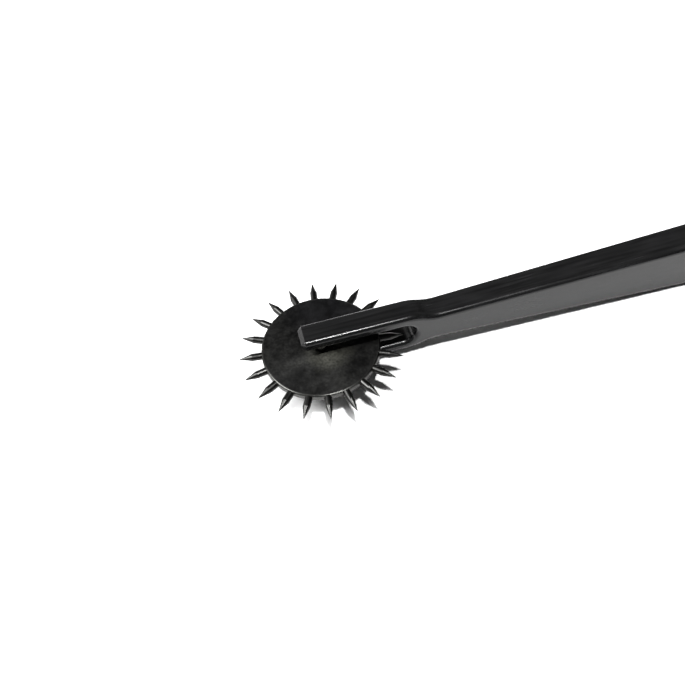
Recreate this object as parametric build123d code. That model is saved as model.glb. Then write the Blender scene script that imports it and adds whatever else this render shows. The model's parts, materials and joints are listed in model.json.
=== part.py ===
"""Tracing wheel: a disc of radial needles that turns in the fork of a solid metal handle.

Frame: millimetres, +Z up. The tool lies on its side, so the axle stands along Z and the
handle runs along +X. The origin is on the surface that the tool lies on, midway along its
length. The axle screw's head and the underside of the grip touch that surface.
"""
import os
from math import atan, cos, degrees, radians

from build123d import *

# ---- Wheel -------------------------------------------------------------------------
TIP_RADIUS = 15.2            # axle to needle tips
NEEDLE_COUNT = 20
FIRST_NEEDLE_ANGLE = 11.53   # from the handle's direction, at rest
DISC_RADIUS = 10.95
DISC_THICKNESS = 1.45
RIM_FILLET = 0.35

# ---- Needle, with distances from the axle ------------------------------------------
SHANK_DIAMETER = 1.38
TANG_DIAMETER = 0.9          # thinner root that is pressed into the disc
POINT_DIAMETER = 0.06        # flat left on the very tip
TANG_START = 8.6
SHOULDER_START = 10.65       # the shank is sunk this far into the rim
CONE_START = 12.75

# ---- Axle, hub and washers -----------------------------------------------------------
AXLE_DIAMETER = 2.0
RUNNING_CLEARANCE = 0.03     # radial, between hub and axle
HUB_DIAMETER = 3.2
HUB_LENGTH = 3.7
WASHER_DIAMETER = 3.4
WASHER_THICKNESS = 0.4
WASHER_BORE = 2.1
FACE_GAP = 0.02              # between the hub and the lower washer
HEAD_DIAMETER = 3.8
HEAD_HEIGHT = 1.6
HEAD_EDGE = 0.25
DRIVER_SLOT_WIDTH = 0.6
DRIVER_SLOT_DEPTH = 0.8
CLEARANCE_HOLE = 2.2         # in the lower prong
THREAD_DEPTH = 1.5           # blind, into the upper prong
THREAD_END_GAP = 0.15

# ---- Fork and handle -----------------------------------------------------------------
OVERALL_LENGTH = 175.0
FORK_HALF_HEIGHT = 4.6
FORK_HALF_WIDTH = 2.4
PRONG_TIP = -3.5             # prong end, from the axle
FORK_END = 15.9              # where the fork starts to thin into the neck, from the axle
SWAN_RADIUS = 8.3            # both arcs of the swan neck
SWAN_ANGLE = 22.0
HEIGHT_TAPER = 0.045         # growth of the half height from the neck to the grip
WIDTH_TAPER = 0.013
GRIP_HALF_WIDTH = 4.0
BLEND_RADIUS = 300.0         # where a taper meets a parallel stretch
EDGE_FILLET = 0.85
PRONG_END_CHAMFER = 0.75     # all round the prongs' end
CHAMFER_EDGE_FILLET = 0.12
GRIP_END_RADIUS = 3.0
SLOT_HALF_HEIGHT = 2.4
SLOT_OFFSET = -0.25          # middle of the slot, from the middle of the fork
SLOT_ARC_CENTRE = 15.05      # centre of the slot's round end, from the axle
SLOT_FILLET = 0.95

PLACE_TOLERANCE = 0.01       # for finding an edge by where it is
CUT_MARGIN = 1.0             # how far a cutting or crossing shape reaches past what it meets

# ---- Worked out from the above -------------------------------------------------------
NEEDLE_PITCH = 360 / NEEDLE_COUNT
WHEEL_REACH = TIP_RADIUS * cos(radians(NEEDLE_PITCH - FIRST_NEEDLE_ANGLE))
HANDLE_END = OVERALL_LENGTH - WHEEL_REACH          # from the axle
AXLE_X = -(HANDLE_END - WHEEL_REACH) / 2
FORK_Z = HEAD_HEIGHT + FORK_HALF_HEIGHT            # middle of the fork and grip
SLOT_FLOOR = FORK_Z + SLOT_OFFSET - SLOT_HALF_HEIGHT
SLOT_ROOF = FORK_Z + SLOT_OFFSET + SLOT_HALF_HEIGHT
HUB_Z = SLOT_FLOOR + WASHER_THICKNESS + FACE_GAP   # the wheel lies low in the slot
WHEEL_Z = HUB_Z + HUB_LENGTH / 2
GRIP_HALF_HEIGHT = FORK_Z                          # so that the grip's underside is at Z = 0


def at_axle(z=0.0, x=0.0):
    """A place on the axle's line, or x along the handle from it."""
    return Pos(AXLE_X + x, 0, z)


def cylinder_up(diameter, height):
    """A cylinder that stands on its own origin."""
    return Cylinder(diameter / 2, height, align=(Align.CENTER, Align.CENTER, Align.MIN))


def handle_half_profile():
    """Upper outline of the handle seen from the side, from the prong tip to the grip end."""
    taper_angle = degrees(atan(HEIGHT_TAPER))
    prong = Line((PRONG_TIP, FORK_HALF_HEIGHT), (FORK_END, FORK_HALF_HEIGHT))
    shoulder = JernArc(prong @ 1, (1, 0), SWAN_RADIUS, -SWAN_ANGLE)
    neck = JernArc(shoulder @ 1, shoulder % 1, SWAN_RADIUS, SWAN_ANGLE + taper_angle)
    return [prong, shoulder, neck] + taper_to_grip(neck @ 1, HEIGHT_TAPER, GRIP_HALF_HEIGHT)


def handle_half_plan():
    """Left outline of the handle seen from above, from the prong tip to the grip end."""
    prong = Line((PRONG_TIP, FORK_HALF_WIDTH), (FORK_END, FORK_HALF_WIDTH))
    flare = JernArc(prong @ 1, (1, 0), BLEND_RADIUS, degrees(atan(WIDTH_TAPER)))
    return [prong, flare] + taper_to_grip(flare @ 1, WIDTH_TAPER, GRIP_HALF_WIDTH)


def taper_to_grip(start, slope, grip_half_size):
    """Straight taper, a gentle bend and the parallel grip."""
    angle = atan(slope)
    bend_rise = BLEND_RADIUS * (1 - cos(angle))
    bend_start_y = grip_half_size - bend_rise
    bend_start_x = start.X + (bend_start_y - start.Y) / slope
    taper = Line(start, (bend_start_x, bend_start_y))
    bend = JernArc(taper @ 1, taper % 1, BLEND_RADIUS, -degrees(angle))
    grip = Line(bend @ 1, (HANDLE_END, grip_half_size))
    return [taper, bend, grip]


def closed_outline(upper, first_y, last_y):
    """Face between an outline and its mirror image about the handle's centre line."""
    lower = [mirror(edge, about=Plane.XZ) for edge in upper]
    ends = [Line((x, -y), (x, y)) for x, y in ((PRONG_TIP, first_y), (HANDLE_END, last_y))]
    return make_face(upper + lower + ends)


def is_long_or_grip_end_edge(edge):
    """True for the bar's long edges and the grip end's level ones, not for upright edges or seams."""
    direction = edge % 0.5
    at_grip_end = edge.center().X > HANDLE_END - PLACE_TOLERANCE
    return abs(direction.X) > 0.1 or (at_grip_end and abs(direction.Y) > 0.9)


def is_round_prong_end(edge):
    """True for the edges that go round the prongs' end, at its face or at the back of the chamfer."""
    box = edge.bounding_box()
    places = (PRONG_TIP, PRONG_TIP + PRONG_END_CHAMFER)
    upright = box.size.X < PLACE_TOLERANCE
    return upright and any(abs(box.max.X - place) < PLACE_TOLERANCE for place in places)


def handle_fork():
    """Handle and two-pronged fork in one piece, with the slot and both axle holes."""
    side_view = Plane.XZ * closed_outline(handle_half_profile(), FORK_HALF_HEIGHT, GRIP_HALF_HEIGHT)
    plan_view = closed_outline(handle_half_plan(), FORK_HALF_WIDTH, GRIP_HALF_WIDTH)
    bar = extrude(side_view, amount=GRIP_HALF_WIDTH + CUT_MARGIN, both=True)
    bar &= extrude(plan_view, amount=GRIP_HALF_HEIGHT + CUT_MARGIN, both=True)
    grip_corners = bar.edges().filter_by(Axis.Z).group_by(Axis.X)[-1]
    bar = fillet(grip_corners, GRIP_END_RADIUS)
    bar = fillet(bar.edges().filter_by(is_long_or_grip_end_edge), EDGE_FILLET)
    bar = chamfer(bar.edges().filter_by(is_round_prong_end), PRONG_END_CHAMFER)
    bar = fillet(bar.edges().filter_by(is_round_prong_end), CHAMFER_EDGE_FILLET)

    slot_length = SLOT_ARC_CENTRE - PRONG_TIP + CUT_MARGIN
    slot_across = 2 * (GRIP_HALF_WIDTH + CUT_MARGIN)
    slot = Rot(90, 0, 0) * Cylinder(SLOT_HALF_HEIGHT, slot_across)
    slot += Pos(-slot_length / 2, 0, 0) * Box(slot_length, slot_across, 2 * SLOT_HALF_HEIGHT)
    slot = Pos(SLOT_ARC_CENTRE, 0, SLOT_OFFSET) * slot
    fork = bar - slot
    fork = fillet(new_edges(bar, slot, combined=fork), SLOT_FILLET)

    fork = at_axle(FORK_Z) * fork
    fork -= at_axle(0) * cylinder_up(CLEARANCE_HOLE, FORK_Z)
    fork -= at_axle(FORK_Z) * cylinder_up(AXLE_DIAMETER, SLOT_ROOF + THREAD_DEPTH - FORK_Z)
    return fork


def axle_screw():
    """Slotted cheese-head screw whose plain shank is the axle."""
    head = cylinder_up(HEAD_DIAMETER, HEAD_HEIGHT)
    head = fillet(head.edges().sort_by(Axis.Z)[0], HEAD_EDGE)
    head -= Box(HEAD_DIAMETER * 2, DRIVER_SLOT_WIDTH, DRIVER_SLOT_DEPTH * 2)
    tip_z = SLOT_ROOF + THREAD_DEPTH - THREAD_END_GAP
    shank = Pos(0, 0, HEAD_HEIGHT) * cylinder_up(AXLE_DIAMETER, tip_z - HEAD_HEIGHT)
    return at_axle() * (head + shank)


def washer(z):
    """Thin flat washer around the axle, its underside at height z."""
    ring = cylinder_up(WASHER_DIAMETER, WASHER_THICKNESS) - cylinder_up(WASHER_BORE, WASHER_THICKNESS)
    return at_axle(z) * ring


def hub_bush():
    """Sleeve that runs on the axle and carries the disc at its middle."""
    bore = AXLE_DIAMETER + 2 * RUNNING_CLEARANCE
    return at_axle(HUB_Z) * (cylinder_up(HUB_DIAMETER, HUB_LENGTH) - cylinder_up(bore, HUB_LENGTH))


def radial(angle):
    """Turns a shape that points along +Z from the axle to lie along a radius of the wheel."""
    return at_axle(WHEEL_Z) * Rot(0, 0, angle) * Rot(0, 90, 0)


def needle_angles():
    """Direction of every needle, anticlockwise from the one nearest the handle's left side."""
    return [FIRST_NEEDLE_ANGLE + NEEDLE_PITCH * i for i in range(NEEDLE_COUNT)]


def wheel_disc():
    """Flat disc with a bore for the hub and a stepped radial hole for each needle."""
    disc = Cylinder(DISC_RADIUS, DISC_THICKNESS)
    disc = fillet(disc.edges().filter_by(GeomType.CIRCLE), RIM_FILLET)
    disc = at_axle(WHEEL_Z) * (disc - Cylinder(HUB_DIAMETER / 2, DISC_THICKNESS))
    hole = Pos(0, 0, TANG_START) * cylinder_up(TANG_DIAMETER, DISC_RADIUS - TANG_START)
    hole += Pos(0, 0, SHOULDER_START) * cylinder_up(SHANK_DIAMETER, DISC_RADIUS - SHOULDER_START + CUT_MARGIN)
    for angle in needle_angles():
        disc -= radial(angle) * hole
    return disc


def needle(angle):
    """Turned needle: tang, shank and a long straight cone."""
    tang = Pos(0, 0, TANG_START) * cylinder_up(TANG_DIAMETER, SHOULDER_START - TANG_START)
    shank = Pos(0, 0, SHOULDER_START) * cylinder_up(SHANK_DIAMETER, CONE_START - SHOULDER_START)
    point = Pos(0, 0, CONE_START) * Cone(SHANK_DIAMETER / 2, POINT_DIAMETER / 2, TIP_RADIUS - CONE_START,
                                         align=(Align.CENTER, Align.CENTER, Align.MIN))
    return radial(angle) * (tang + shank + point)


def save(name, shape):
    """Writes one named piece."""
    shape.label = name
    export_step(shape, f"parts/{name}.step")


os.makedirs("parts", exist_ok=True)
save("handle_fork", handle_fork())
save("axle_screw", axle_screw())
save("lower_washer", washer(SLOT_FLOOR))
save("upper_washer", washer(HUB_Z + HUB_LENGTH))
save("hub_bush", hub_bush())
save("wheel_disc", wheel_disc())
for number, angle in enumerate(needle_angles(), start=1):
    save(f"needle_{number:02d}", needle(angle))
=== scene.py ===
"""Looks of the tracing wheel: materials, camera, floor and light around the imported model."""
import json
from math import cos, radians, sin

import bpy
from mathutils import Matrix, Vector


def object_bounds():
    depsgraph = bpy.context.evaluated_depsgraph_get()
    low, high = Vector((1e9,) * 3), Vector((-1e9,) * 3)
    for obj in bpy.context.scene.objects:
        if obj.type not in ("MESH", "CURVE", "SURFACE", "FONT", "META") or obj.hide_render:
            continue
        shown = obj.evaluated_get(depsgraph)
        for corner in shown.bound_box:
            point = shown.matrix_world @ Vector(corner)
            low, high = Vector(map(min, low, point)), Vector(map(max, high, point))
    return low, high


MM = 0.001

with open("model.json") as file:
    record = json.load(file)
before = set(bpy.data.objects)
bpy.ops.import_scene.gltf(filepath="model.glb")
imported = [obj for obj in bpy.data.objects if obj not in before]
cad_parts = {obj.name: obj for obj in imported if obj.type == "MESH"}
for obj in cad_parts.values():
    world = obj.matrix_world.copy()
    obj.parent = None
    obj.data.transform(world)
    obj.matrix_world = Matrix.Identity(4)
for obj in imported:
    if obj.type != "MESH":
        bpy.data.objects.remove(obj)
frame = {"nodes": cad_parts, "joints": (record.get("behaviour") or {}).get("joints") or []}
cad_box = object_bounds()
nodes = frame["nodes"]
scene = bpy.context.scene
spin = next(joint for joint in frame["joints"] if joint["name"] == "wheel_spin")
WHEEL = Vector(spin["pos_m"])

# ---- Camera, from the wheel's centre ---------------------------------------------------
CAMERA_AIM = Vector((4.02, -0.23, 0)) * MM
CAMERA_DISTANCE = 130.1 * MM
CAMERA_TURN = radians(7.33)       # its view is turned this far from +Y towards +X
CAMERA_DOWN = radians(54.89)
CAMERA_ROLL = radians(-8.17)
CAMERA_SENSOR = 36                # width in millimetres
CAMERA_LENS = 37.32
CAMERA_NEAR = 0.01

# ---- Floor and light, in metres and watts, from the wheel's centre -----------------------
FLOOR_SIZE = 4
FLOOR_WHITE = (0.9, 0.9, 0.9, 1)
FLOOR_ROUGHNESS = 0.9
KEY_DIRECTION = (0.07, -0.16, 1)
KEY_DISTANCE = 0.4
KEY_SIZE = 0.02
KEY_POWER = 1.8
FILL_DIRECTION = (-0.76, 0.13, 1)
FILL_DISTANCE = 1.2
FILL_SIZE = 0.55
FILL_POWER = 26
BACK_DIRECTION = (-0.8, 0.57, 0.3)
BACK_DISTANCE = 0.8
BACK_SIZE = 0.8
BACK_POWER = 2.6
SURROUND = (0.06, 0.06, 0.06, 1)

# ---- Patterns --------------------------------------------------------------------------
CLOUD_RANGE = (0.36, 0.64)        # what soft noise mostly spans
MIXED_RANGE = (0.3, 0.7)          # and a mixture of two noises


class Surface:
    """A material whose Principled shader is driven by procedural patterns in the piece's own space."""

    def __init__(self, name):
        self.material = bpy.data.materials.new(name)
        self.material.use_nodes = True
        self.tree = self.material.node_tree
        self.shader = self.tree.nodes["Principled BSDF"]
        self.place = self.tree.nodes.new("ShaderNodeTexCoord").outputs["Object"]

    def set(self, **values):
        """Sets the shader's inputs: Base_Color=..., to a constant or to another node's output."""
        for name, value in values.items():
            self.join(value, self.shader.inputs[name.replace("_", " ")])

    def join(self, value, socket):
        if isinstance(value, bpy.types.NodeSocket):
            self.tree.links.new(value, socket)
        else:
            socket.default_value = value

    def math(self, operation, *values):
        node = self.tree.nodes.new("ShaderNodeMath")
        node.operation = operation
        for value, socket in zip(values, node.inputs):
            self.join(value, socket)
        return node.outputs[0]

    def vector(self, operation, *values):
        node = self.tree.nodes.new("ShaderNodeVectorMath")
        node.operation = operation
        for value, socket in zip(values, node.inputs):
            self.join(value, socket)
        return node.outputs["Value" if operation == "LENGTH" else "Vector"]

    def noise(self, size, detail=2.0, place=None, roughness=0.5):
        """Cloudy pattern from 0 to 1 with features about this many metres across."""
        node = self.tree.nodes.new("ShaderNodeTexNoise")
        node.inputs["Scale"].default_value = 1 / size
        node.inputs["Detail"].default_value = detail
        node.inputs["Roughness"].default_value = roughness
        self.join(place or self.place, node.inputs["Vector"])
        return node.outputs["Fac"]

    def spread(self, value, start, end, low, high):
        """Turns the range start to end into low to high, clamped."""
        node = self.tree.nodes.new("ShaderNodeMapRange")
        for socket, number in zip(node.inputs, (value, start, end, low, high)):
            self.join(number, socket)
        return node.outputs["Result"]

    def blend(self, share, first, second):
        """Colour between the first and the second, by share; each is three numbers or a node's output."""
        node = self.tree.nodes.new("ShaderNodeMix")
        node.data_type = "RGBA"
        sockets = {socket.identifier: socket for socket in (*node.inputs, *node.outputs)}
        self.join(share, sockets["Factor_Float"])
        for colour, socket in ((first, sockets["A_Color"]), (second, sockets["B_Color"])):
            self.join(colour if isinstance(colour, bpy.types.NodeSocket) else (*colour, 1), socket)
        return sockets["Result_Color"]

    def tint(self, colour, strength):
        """The colour made darker or lighter by a factor."""
        return self.vector("SCALE", colour, (0, 0, 0), (0, 0, 0), strength)

    def bump(self, height, depth, below=None):
        """Relief of this many metres, on top of another relief."""
        node = self.tree.nodes.new("ShaderNodeBump")
        node.inputs["Distance"].default_value = depth
        self.join(height, node.inputs["Height"])
        if below:
            self.join(below, node.inputs["Normal"])
        return node.outputs["Normal"]

    def radius(self):
        """Distance from the axle's line."""
        from_axle = self.vector("SUBTRACT", self.place, WHEEL)
        return self.vector("LENGTH", self.vector("MULTIPLY", from_axle, (1, 1, 0)))

    def rings(self, size):
        """Noise that changes only with the radius, so that it runs round the axle as turning marks do."""
        along = self.tree.nodes.new("ShaderNodeCombineXYZ")
        self.join(self.radius(), along.inputs["X"])
        return self.noise(size, detail=3, place=along.outputs["Vector"])

    def mix(self, first, second, share):
        """Weighted sum of two patterns; share is the first one's weight."""
        rest = self.math("MULTIPLY", second, 1 - share)
        return self.math("ADD", self.math("MULTIPLY", first, share), rest)


def handle_coating():
    """Smooth semi-gloss black coating with faint long streaks, duller patches, slow waves and fine grain."""
    black = (0.0034, 0.0034, 0.0036)
    rubbed = (0.0060, 0.0060, 0.0061)
    lengthwise = (0.03, 1, 1)
    s = Surface("handle_coating")
    patches = s.noise(6 * MM, detail=4)
    waves = s.bump(s.noise(2.5 * MM), 0.012 * MM)
    grain = s.noise(0.35 * MM, detail=3)
    streaks = s.noise(0.5 * MM, detail=3, place=s.vector("MULTIPLY", s.place, lengthwise))
    s.set(Base_Color=s.tint(s.blend(patches, black, rubbed), s.spread(streaks, 0.35, 0.72, 0.8, 1.9)),
          Metallic=0.0,
          IOR=1.35,
          Roughness=s.spread(s.mix(patches, streaks, 0.5), 0.35, 0.65, 0.17, 0.28),
          Normal=s.bump(grain, 0.0012 * MM, waves))
    return s.material


def turned_disc():
    """Blackened face, turned so that it shines in a bow tie about the axle, with a bare rim, random speckle,
    painted highlights on the near side and painted shade on the far side and in two near wedges.
    """
    blackened = (0.0076, 0.0076, 0.0073)
    bare = (0.048, 0.048, 0.0456)
    # painted shade: colour for two darker wedges on the near side
    dark = (0.0045, 0.0045, 0.0044)
    # painted shade: colour that darkens the far half of the face
    painted_far_shade = (0.0026, 0.0026, 0.0029)
    # painted highlight: colour for a pale ray from the hub towards the near rim
    painted_highlight_ray = (0.0098, 0.0098, 0.0092)
    # painted highlight: colour for a narrow pale line left of the hub
    painted_highlight_smear = (0.0180, 0.0180, 0.0167)
    # painted highlight: colour for a pale patch by the hub on the near side
    painted_hub_highlight = (0.0360, 0.0360, 0.0302)
    s = Surface("turned_disc")
    clouds = s.noise(1.7 * MM, detail=5, roughness=0.65)
    wander = s.math("MULTIPLY", s.math("SUBTRACT", clouds, 0.5), 5 * MM)

    def patch(x, y, stretch, full, gone):
        """Share of a ragged painted patch of light or shade centred at x, y: 1 within full millimetres of it
        and 0 beyond gone.

        A distance along X counts stretch times over, so a stretch above 1 narrows the stain that way.
        """
        offset = s.vector("SUBTRACT", s.place, WHEEL + Vector((x, y, 0)) * MM)
        distance = s.vector("LENGTH", s.vector("MULTIPLY", offset, (stretch, 1, 0)))
        return s.spread(s.math("ADD", distance, wander), full * MM, gone * MM, 1.0, 0.0)

    # painted shade: the far half of the face is made darker
    face = s.blend(patch(4.0, 8.0, 0.8, 4.5, 9.0), blackened, painted_far_shade)
    # painted shade: two darker wedges in front of the hub, to the right and to the left
    face = s.blend(patch(5.4, -5.6, 1.0, 0.8, 3.0), face, dark)
    face = s.blend(patch(-5.4, -6.6, 0.6, 1.0, 3.6), face, dark)
    # painted highlight: a pale ray running from the hub towards the near rim
    face = s.blend(patch(1.6, -8.0, 2.4, 0.5, 4.5), face, painted_highlight_ray)
    # painted highlight: a narrow pale line to the left of the hub
    face = s.blend(patch(-3.5, -2.5, 0.2, 0.1, 1.3), face, painted_highlight_smear)
    # painted highlight: a pale patch by the hub that reaches up under the prong, where shade falls
    face = s.blend(patch(1.2, -1.4, 1.0, 1.4, 5.2), face, painted_hub_highlight)
    speckle = s.spread(s.noise(0.4 * MM, detail=2), 0.35, 0.65, 0.7, 1.35)
    face = s.tint(face, s.math("MULTIPLY", speckle, s.spread(clouds, *CLOUD_RANGE, 0.6, 1.45)))
    bare_rim = s.spread(s.radius(), 10.5 * MM, 10.68 * MM, 0.0, 1.0)
    dullness = s.spread(clouds, *CLOUD_RANGE, 0.40, 0.52)
    tangent = s.tree.nodes.new("ShaderNodeTangent")
    tangent.direction_type = "RADIAL"
    tangent.axis = "Z"
    s.set(Base_Color=s.blend(bare_rim, face, bare),
          Metallic=s.spread(bare_rim, 0.0, 1.0, 0.4, 1.0),
          Specular_IOR_Level=0.1,
          Anisotropic=0.7,
          Anisotropic_Rotation=0.25,
          Tangent=tangent.outputs["Tangent"],
          Roughness=s.math("SUBTRACT", dullness, s.math("MULTIPLY", bare_rim, 0.13)),
          Normal=s.bump(s.rings(0.16 * MM), 0.0006 * MM))
    return s.material


def needle_plating():
    """Polished black nickel on turned pins, with faint tool marks across them."""
    dark = (0.025, 0.025, 0.0243)
    light = (0.050, 0.050, 0.0483)
    s = Surface("needle_plating")
    marks = s.rings(0.14 * MM)
    clouds = s.noise(1.6 * MM, detail=4)
    s.set(Base_Color=s.blend(clouds, dark, light),
          Metallic=1.0,
          Roughness=s.spread(s.mix(clouds, marks, 0.6), *MIXED_RANGE, 0.26, 0.38),
          Normal=s.bump(marks, 0.0010 * MM, s.bump(clouds, 0.004 * MM)))
    return s.material


def turned_metal(name, dark, light, smoothest, roughest):
    """Plain metal with turning marks round the axle: screw, washers and hub."""
    s = Surface(name)
    marks = s.rings(0.11 * MM)
    clouds = s.noise(0.9 * MM, detail=4)
    s.set(Base_Color=s.blend(clouds, dark, light),
          Metallic=1.0,
          Roughness=s.spread(s.mix(clouds, marks, 0.5), *MIXED_RANGE, smoothest, roughest),
          Normal=s.bump(marks, 0.0012 * MM))
    return s.material


def dress(material, names):
    """Gives each named CAD node this one material."""
    for name in names:
        nodes[name].data.materials.clear()
        nodes[name].data.materials.append(material)


def make_camera():
    """Camera over the wheel, looking down at it from the front."""
    level = cos(CAMERA_DOWN)
    ahead = Vector((sin(CAMERA_TURN) * level, cos(CAMERA_TURN) * level, -sin(CAMERA_DOWN)))
    turn = ahead.to_track_quat("-Z", "Y").to_matrix() @ Matrix.Rotation(CAMERA_ROLL, 3, "Z")
    data = bpy.data.cameras.new("camera")
    data.lens = CAMERA_LENS
    data.sensor_width = CAMERA_SENSOR
    data.clip_start = CAMERA_NEAR
    camera = bpy.data.objects.new("camera", data)
    camera.matrix_world = Matrix.Translation(WHEEL + CAMERA_AIM - ahead * CAMERA_DISTANCE) @ turn.to_4x4()
    scene.collection.objects.link(camera)
    scene.camera = camera


def make_floor():
    """Plain white table top at the tool's underside."""
    bpy.ops.mesh.primitive_plane_add(size=FLOOR_SIZE, location=(0, 0, cad_box[0][2]))
    floor = bpy.context.object
    floor.name = "floor"
    white = bpy.data.materials.new("floor")
    white.use_nodes = True
    shader = white.node_tree.nodes["Principled BSDF"]
    shader.inputs["Base Color"].default_value = FLOOR_WHITE
    shader.inputs["Roughness"].default_value = FLOOR_ROUGHNESS
    shader.inputs["Specular IOR Level"].default_value = 0
    floor.data.materials.append(white)


def make_light(name, direction, distance, size, power):
    """Square soft box that faces the wheel from the given direction."""
    data = bpy.data.lights.new(name, "AREA")
    data.size = size
    data.energy = power
    light = bpy.data.objects.new(name, data)
    toward = Vector(direction).normalized()
    light.location = WHEEL + toward * distance
    light.rotation_euler = (-toward).to_track_quat("-Z", "Y").to_euler()
    scene.collection.objects.link(light)


def make_lights():
    """A small key almost overhead, a wide lamp from the left, a dim panel low behind and a dim surround."""
    make_light("key", KEY_DIRECTION, KEY_DISTANCE, KEY_SIZE, KEY_POWER)
    make_light("fill", FILL_DIRECTION, FILL_DISTANCE, FILL_SIZE, FILL_POWER)
    make_light("back", BACK_DIRECTION, BACK_DISTANCE, BACK_SIZE, BACK_POWER)
    world = bpy.data.worlds.new("surround")
    world.use_nodes = True
    world.node_tree.nodes["Background"].inputs["Color"].default_value = SURROUND
    scene.world = world


dress(handle_coating(), ["handle_fork"])
dress(turned_disc(), ["wheel_disc"])
dress(needle_plating(), [name for name in nodes if name.startswith("needle_")])
dress(turned_metal("blackened_steel", (0.020, 0.020, 0.021), (0.045, 0.045, 0.046), 0.26, 0.40),
      ["axle_screw", "hub_bush"])
dress(turned_metal("washer_steel", (0.24, 0.24, 0.24), (0.36, 0.36, 0.355), 0.22, 0.36),
      ["lower_washer", "upper_washer"])

scene.view_settings.view_transform = "Standard"
make_camera()
make_floor()
make_lights()
